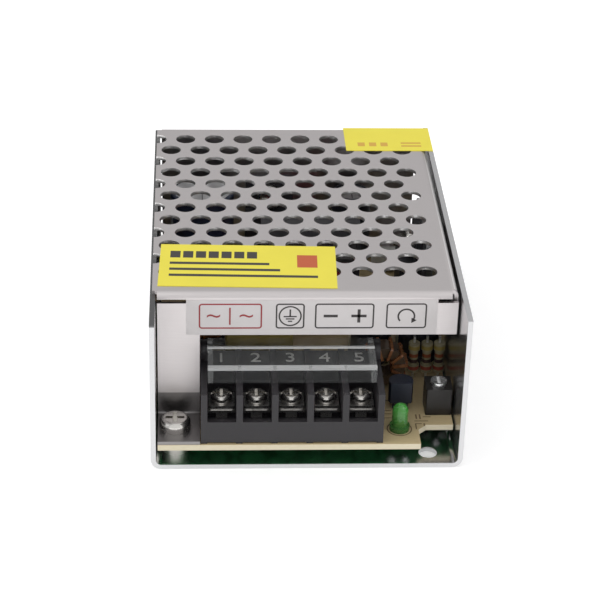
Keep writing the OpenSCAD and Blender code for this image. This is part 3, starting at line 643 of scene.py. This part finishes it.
class LampSettings(bpy.types.PropertyGroup):
    """Looks of the lamp."""
    lens_colour: bpy.props.FloatVectorProperty(
        name="Lens colour", description="Colour of the lamp's resin", subtype="COLOR",
        size=3, default=(0.07, 0.36, 0.06), min=0, max=1)


SETTINGS = (("psu_case", CaseSettings), ("psu_board", BoardSettings), ("psu_print", PrintSettings),
            ("psu_lamp", LampSettings))


# ---- Operators ---------------------------------------------------------------

class DressCase(bpy.types.Operator):
    """Give the base channel, the cover and the standoffs their finishes, and the base channel and the
    cover their broken edges
    """
    bl_idname = "psu.dress_case"
    bl_label = "Case and cover"
    bl_options = {"REGISTER"}

    def execute(self, context):
        look = context.scene.psu_case
        top = COVER_HIGH.z
        # painted shade: the top 1.1 mm of the chassis's left half, under the cover's edge, is painted
        # near black
        sheet_metal("aluminium_sheet", tuple(look.base_colour), 0.22, (0.3, 30.0, 0.3),
                    [(0.0, 1.0, top - 1.1 * MM, top, 0.9, (0.10, 0.10, 0.10))]).dress("chassis")
        step = BOARD_HIGH.z
        front = STICKER_LOW.y
        # painted dark reflection: the cover's left front leg and foot just above the board are painted
        # dark grey
        painted_foot_reflection = [(0.0, front + 1.0 * MM, step + 0.9 * MM, step + 5.2 * MM, 0.72, (0.13, 0.125, 0.125)),
                (0.0, front + 0.6 * MM, step - 0.1 * MM, step + 1.0 * MM, 0.72, (0.16, 0.155, 0.155))]
        # painted highlight: the cover's hole rims near its top are painted near white
        sheet_metal("tinned_steel", tuple(look.cover_colour), 0.36, (14.0, 0.4, 0.4), painted_foot_reflection,
                    (top - 0.75 * MM, front + 2.0 * MM, 0.75)).dress("cover")
        plated("plated_brass", (0.78, 0.76, 0.70), 0.3).dress("standoffs")
        soften("chassis", look.edge_break)
        soften("cover", look.rim_break, segments=3)
        return {"FINISHED"}


class DressScrews(bpy.types.Operator):
    """Give the screws, washers and contacts their plated finishes"""
    bl_idname = "psu.dress_screws"
    bl_label = "Screws and contacts"
    bl_options = {"REGISTER"}

    def execute(self, context):
        screws = ["cover_screws", "heatsink_screws"]
        screws += [f"terminal_screw_{way + 1}" for way in range(WAYS)]
        plated("nickel_screw", (0.66, 0.64, 0.61), 0.22, 0.5).dress(*screws)
        washers = [f"clamp_washer_{way + 1}" for way in range(WAYS)]
        plated("tinned_brass", (0.72, 0.71, 0.69), 0.28, 0.3).dress("terminal_contacts", *washers)
        plated("rotor_metal", (0.78, 0.78, 0.78), 0.25, 0.3).dress("trimmer_rotor")
        for node in screws + washers + ["trimmer_rotor"]:
            soften(node, 0.06 * MM)
        return {"FINISHED"}


class DressBlock(bpy.types.Operator):
    """Give the terminal block its moulded finish and its light digits"""
    bl_idname = "psu.dress_block"
    bl_label = "Terminal block and digits"
    bl_options = {"REGISTER"}

    def execute(self, context):
        look = context.scene.psu_print
        moulding("black_moulding", (0.020, 0.018, 0.021), 0.45, 0.12, 0.02).dress("terminal_block")
        soften("terminal_block", 0.14 * MM)
        ink = moulding("digit_ink", (0.62, 0.62, 0.60), 0.5, 0.2)
        digits = Shape()
        for way in range(WAYS):
            spot = centre_of(f"clamp_washer_{way + 1}")
            digits.words(str(way + 1), look.digit_height * 1.36, 0.08 * MM,
                         on_top(spot.x, spot.y + 6.2 * MM, BOARD_HIGH.z + look.shelf_height))
        digits.finish("terminal_digits", "case", "white_moulding", ink.material)
        return {"FINISHED"}


class DressLid(bpy.types.Operator):
    """Give the hinged lid its clear finish and soft edges"""
    bl_idname = "psu.dress_lid"
    bl_label = "Clear lid"
    bl_options = {"REGISTER"}

    def execute(self, context):
        clear_lid().dress("terminal_lid")
        soften("terminal_lid", 0.18 * MM, segments=3)
        return {"FINISHED"}


class DressBoard(bpy.types.Operator):
    """Give the board its laminate, and its joints their solder"""
    bl_idname = "psu.dress_board"
    bl_label = "Board and solder"
    bl_options = {"REGISTER"}

    def execute(self, context):
        look = context.scene.psu_board
        board_laminate(tuple(look.top_colour)).dress("circuit_board")
        soften("circuit_board", 0.06 * MM)
        tin = plated("solder", (0.80, 0.80, 0.79), 0.24, 0.1)
        solder = Shape()
        without_leads = ("chassis", "cover", "standoffs", "cover_screws", "circuit_board",
                         "terminal_block")
        for node in NODES:
            if node in without_leads:
                continue
            for spot in lead_tips(node):
                part = bmesh.new()
                bmesh.ops.create_cone(part, cap_ends=True, segments=12, radius1=0.32 * MM,
                                      radius2=look.solder_radius, depth=SOLDER_HEIGHT)
                lower = [edge for edge in part.edges if all(vert.co.z < 0 for vert in edge.verts)]
                bmesh.ops.bevel(part, geom=lower, offset=0.12 * MM, affect="EDGES", segments=2,
                                profile=0.5, material=-1)
                solder.add(part, on_top(spot.x, spot.y, BOARD_LOW.z - SOLDER_HEIGHT / 2))
        solder.finish("solder_joints", "case", "nickel_screw", tin.material)
        return {"FINISHED"}


class DressLabels(bpy.types.Operator):
    """Print the three labels with plain fields, outlines and generic signs"""
    bl_idname = "psu.dress_labels"
    bl_label = "Labels"
    bl_options = {"REGISTER"}

    def execute(self, context):
        look = context.scene.psu_print
        black, red, amber = (0.03, 0.025, 0.02), (0.50, 0.09, 0.02), (0.62, 0.36, 0.04)
        yellow = (0.80, 0.70, 0.05)
        margin, pitch = -14.6, 2.4
        title = [(margin + pitch * step, margin + 1.9 + pitch * step, 2.8, 5.4, black)
                 for step in range(7)]
        lines = [(margin, end, bottom, bottom + 0.9, black)
                 for end, bottom in ((4.0, 0.3), (6.0, -2.0), (13.0, -4.3))]
        block = [(9.2, 13.0, -0.4, 4.4, red)]
        paper_label("yellow_label", "top_sticker", yellow, LABEL_TURN,
                    title + lines + block).dress("top_sticker")
        stamps = [(-6.5 + pitch * step, -5.0 + pitch * step, -3.4, -1.6, amber) for step in range(3)]
        strokes = [(2.6, 6.8, bottom, bottom + 0.7, amber) for bottom in (-3.6, -2.2)]
        paper_label("seal_label", "seal_sticker", yellow, 0.0, stamps + strokes).dress("seal_sticker")
        paper = Finish("white_sticker", Coat_Weight=0.15, Coat_Roughness=0.3)
        paper.colour(paper.mix(paper.noise(5 * MM), (0.60, 0.57, 0.57), (0.70, 0.67, 0.67)))
        paper.rough(paper.noise(0.5 * MM) * 0.2 + 0.38)
        paper.bump(paper.noise(2.5 * MM), 0.04 * MM)
        paper.dress("front_sticker")

        depth = 0.02 * MM
        face = STICKER_LOW.y
        line = look.line_width
        level = (STICKER_LOW.z + STICKER_HIGH.z) / 2 + 0.3 * MM
        earth, sign_minus, sign_plus, dial = -3.35 * MM, 4.1 * MM, 9.3 * MM, 18.05 * MM
        red_print, black_print = Shape(), Shape()
        for shape, low, high in ((red_print, -20.1, -8.5), (black_print, -6.0, -0.7),
                                 (black_print, 1.2, 12.1), (black_print, 14.3, 21.8)):
            shape.plate((high - low) * MM, 5.3 * MM, 0.6 * MM, line, depth,
                        on_front((low + high) / 2 * MM, face, level))
        for x in (-17.4, -11.4):
            red_print.words("~", 4.6 * MM, depth, on_front(x * MM, face, level + 0.2 * MM))
        red_print.plate(0.3 * MM, 3.6 * MM, 0, 0, depth, on_front(-14.4 * MM, face, level))
        black_print.arc(2.0 * MM, 0.28 * MM, 0, 2 * math.pi, depth, on_front(earth, face, level))
        black_print.plate(0.3 * MM, 1.5 * MM, 0, 0, depth, on_front(earth, face, level + 0.65 * MM))
        for drop, width in ((0.1, 2.4), (0.6, 1.6), (1.1, 0.8)):
            black_print.plate(width * MM, 0.26 * MM, 0, 0, depth,
                              on_front(earth, face, level - drop * MM))
        black_print.plate(2.6 * MM, 0.55 * MM, 0, 0, depth, on_front(sign_minus, face, level))
        for width, height in ((2.8, 0.55), (0.55, 2.8)):
            black_print.plate(width * MM, height * MM, 0, 0, depth, on_front(sign_plus, face, level))
        black_print.arc(1.5 * MM, 0.32 * MM, math.radians(-30), math.radians(250), depth,
                        on_front(dial, face, level - 0.1 * MM))
        arrow = bmesh.new()
        bmesh.ops.create_circle(arrow, cap_ends=True, segments=3, radius=0.65 * MM)
        black_print.raise_flat(arrow, depth, on_front(dial + 1.3 * MM, face, level - 0.95 * MM)
                               @ Matrix.Rotation(math.radians(150), 4, "Z"))
        dark_red = moulding("red_print", (0.30, 0.035, 0.04), 0.5)
        dark = moulding("black_print", (0.035, 0.03, 0.03), 0.5)
        red_print.finish("front_print_red", "case", "white_sticker", dark_red.material)
        black_print.finish("front_print_black", "case", "white_sticker", dark.material)
        return {"FINISHED"}


class DressLamp(bpy.types.Operator):
    """Give the lamp its tinted resin and the adjuster its body"""
    bl_idname = "psu.dress_lamp"
    bl_label = "Lamp and adjuster"
    bl_options = {"REGISTER"}

    def execute(self, context):
        lamp_lens(tuple(context.scene.psu_lamp.lens_colour)).dress("indicator_led")
        moulding("trimmer_plastic", (0.012, 0.010, 0.009), 0.42).dress("trimmer_body")
        return {"FINISHED"}


class DressParts(bpy.types.Operator):
    """Give the parts inside the case their finishes"""
    bl_idname = "psu.dress_parts"
    bl_label = "Inner parts"
    bl_options = {"REGISTER"}

    def execute(self, context):
        moulding("package_epoxy", (0.04, 0.04, 0.045), 0.5).dress(
            "bridge_rectifier", "controller_chip", "power_switch", "output_rectifier")
        moulding("transistor_epoxy", (0.010, 0.014, 0.030), 0.45).dress("small_transistor")
        moulding("fuse_case", (0.13, 0.06, 0.045), 0.4).dress("fuse")
        dipped("green_coating", (0.04, 0.16, 0.07)).dress("inrush_thermistor")
        dipped("blue_coating", (0.09, 0.24, 0.52)).dress("safety_capacitor")
        moulding("yellow_moulding", (0.30, 0.23, 0.06), 0.4).dress("filter_capacitor")
        moulding("white_moulding", (0.78, 0.78, 0.74), 0.45).dress("optocoupler")
        moulding("bobbin_resin", (0.05, 0.045, 0.045), 0.45).dress("transformer_bobbin")
        moulding("ferrite", (0.075, 0.073, 0.078), 0.62, 0.25, 0.03).dress(
            "line_filter_core", "transformer_core")
        dipped("core_coating", (0.085, 0.055, 0.032)).dress("choke_core")
        wound_wire("filter_wire", 0.5, 2).dress("line_filter_windings")
        dipped("copper_turns", (0.27, 0.11, 0.045), 0.28).dress("choke_winding")
        dipped("winding_tape", (0.42, 0.05, 0.085), 0.3).dress("transformer_winding")
        sheet_metal("heatsink_aluminium", (0.72, 0.72, 0.73), 0.32, (8.0, 8.0, 0.4)).dress(
            "switch_heatsink", "rectifier_heatsink")
        sleeved_can("bulk_sleeve", "bulk_capacitor", (0.022, 0.03, 0.06), (0.55, 0.56, 0.58)).dress(
            "bulk_capacitor")
        for number in (1, 2, 3):
            sleeved_can(f"output_sleeve_{number}", f"output_capacitor_{number}", (0.02, 0.022, 0.03),
                        (0.60, 0.58, 0.42)).dress(f"output_capacitor_{number}")
        banded_body((0.27, 0.24, 0.15), ((0.5, (0.25, 0.05, 0.03)), (2.0, (0.04, 0.02, 0.02)),
                                         (3.2, (0.22, 0.06, 0.02)), (5.0, (0.26, 0.20, 0.05)))).dress(
            "standing_resistors")
        return {"FINISHED"}


class SetStage(bpy.types.Operator):
    """Set up the white ground, the soft light and the camera"""
    bl_idname = "psu.set_stage"
    bl_label = "Stage, light and camera"
    bl_options = {"REGISTER"}

    def execute(self, context):
        scene = context.scene
        ground = bmesh.new()
        bmesh.ops.create_grid(ground, x_segments=1, y_segments=1, size=3.0)
        mesh = bpy.data.meshes.new("ground")
        ground.to_mesh(mesh)
        ground.free()
        floor = bpy.data.objects.new("ground", mesh)
        scene.collection.objects.link(floor)
        mesh.materials.append(stage_floor().material)
        self.light_room(scene)
        self.place_lamp(scene, "key", (-0.75, -0.15, 0.75), 0.5, 2.6)
        self.place_lamp(scene, "fill", (0.7, -0.30, 0.5), 0.5, 0.8)
        self.place_camera(scene)
        scene.view_settings.view_transform = "Standard"
        return {"FINISHED"}

    def light_room(self, scene):
        """A pale room, dimmer behind the object, seen as white."""
        world = bpy.data.worlds.new("pale_room")
        scene.world = world
        room = TreeBuilder(world)
        _, back, up = room.split(room.node("ShaderNodeTexCoord", output="Generated"))
        behind = (back * 1.1).clamp()
        above = (up * 1.2 - 0.3).clamp()
        level = 0.90 - behind * 0.40 * (1.0 - above)
        level = level | room.node("ShaderNodeLightPath", output="Is Camera Ray")
        background = room.tree.nodes["Background"]
        background.inputs["Color"].default_value = (1.0, 1.0, 1.0, 1.0)
        room.feed(background.inputs["Strength"], level)

    def place_lamp(self, scene, name, place, size, power):
        """A soft square lamp that faces the object."""
        light = bpy.data.lights.new(name, "AREA")
        light.size = size
        light.energy = power
        lamp = bpy.data.objects.new(name, light)
        lamp.location = place
        lamp.rotation_euler = (-Vector(place)).to_track_quat("-Z", "Y").to_euler()
        scene.collection.objects.link(lamp)

    def place_camera(self, scene):
        """A long lens from above the terminals, a little to their left."""
        turn, tilt, roll = math.radians(-3.50), math.radians(29.89), math.radians(1.65)
        forward = Matrix.Rotation(turn, 3, "Z") @ Vector((0, math.cos(tilt), -math.sin(tilt)))
        level = Matrix.Rotation(turn, 3, "Z") @ Vector((1, 0, 0))
        upright = level.cross(forward)
        across = math.cos(roll) * level + math.sin(roll) * upright
        up = -math.sin(roll) * level + math.cos(roll) * upright
        data = bpy.data.cameras.new("camera")
        data.lens = 121.5
        data.sensor_width = 36.0
        data.clip_start = 10 * MM
        camera = bpy.data.objects.new("camera", data)
        place = Matrix.Translation((-0.0212, -0.3507, 0.2146))
        camera.matrix_world = place @ Matrix((across, up, -forward)).transposed().to_4x4()
        scene.collection.objects.link(camera)
        scene.camera = camera


OPERATORS = (DressCase, DressScrews, DressBlock, DressLid, DressBoard, DressLabels, DressLamp,
             DressParts, SetStage)


class PowerSupplyPanel(bpy.types.Panel):
    """Lists the settings and the operators in the sidebar"""
    bl_idname = "VIEW3D_PT_power_supply"
    bl_label = "Power supply"
    bl_space_type = "VIEW_3D"
    bl_region_type = "UI"
    bl_category = "Power supply"

    def draw(self, context):
        for name, group in SETTINGS:
            box = self.layout.box()
            for key in group.__annotations__:
                box.prop(getattr(context.scene, name), key)
        for operator in OPERATORS:
            self.layout.operator(operator.bl_idname)


def register():
    for _, group in SETTINGS:
        bpy.utils.register_class(group)
    for operator in OPERATORS:
        bpy.utils.register_class(operator)
    bpy.utils.register_class(PowerSupplyPanel)
    for name, group in SETTINGS:
        setattr(bpy.types.Scene, name, bpy.props.PointerProperty(type=group))


def unregister():
    for name, _ in reversed(SETTINGS):
        delattr(bpy.types.Scene, name)
    bpy.utils.unregister_class(PowerSupplyPanel)
    for operator in reversed(OPERATORS):
        bpy.utils.unregister_class(operator)
    for _, group in reversed(SETTINGS):
        bpy.utils.unregister_class(group)


def main():
    register()
    for operator in OPERATORS:
        group, name = operator.bl_idname.split(".")
        getattr(getattr(bpy.ops, group), name)()


if __name__ == "__main__":
    main()
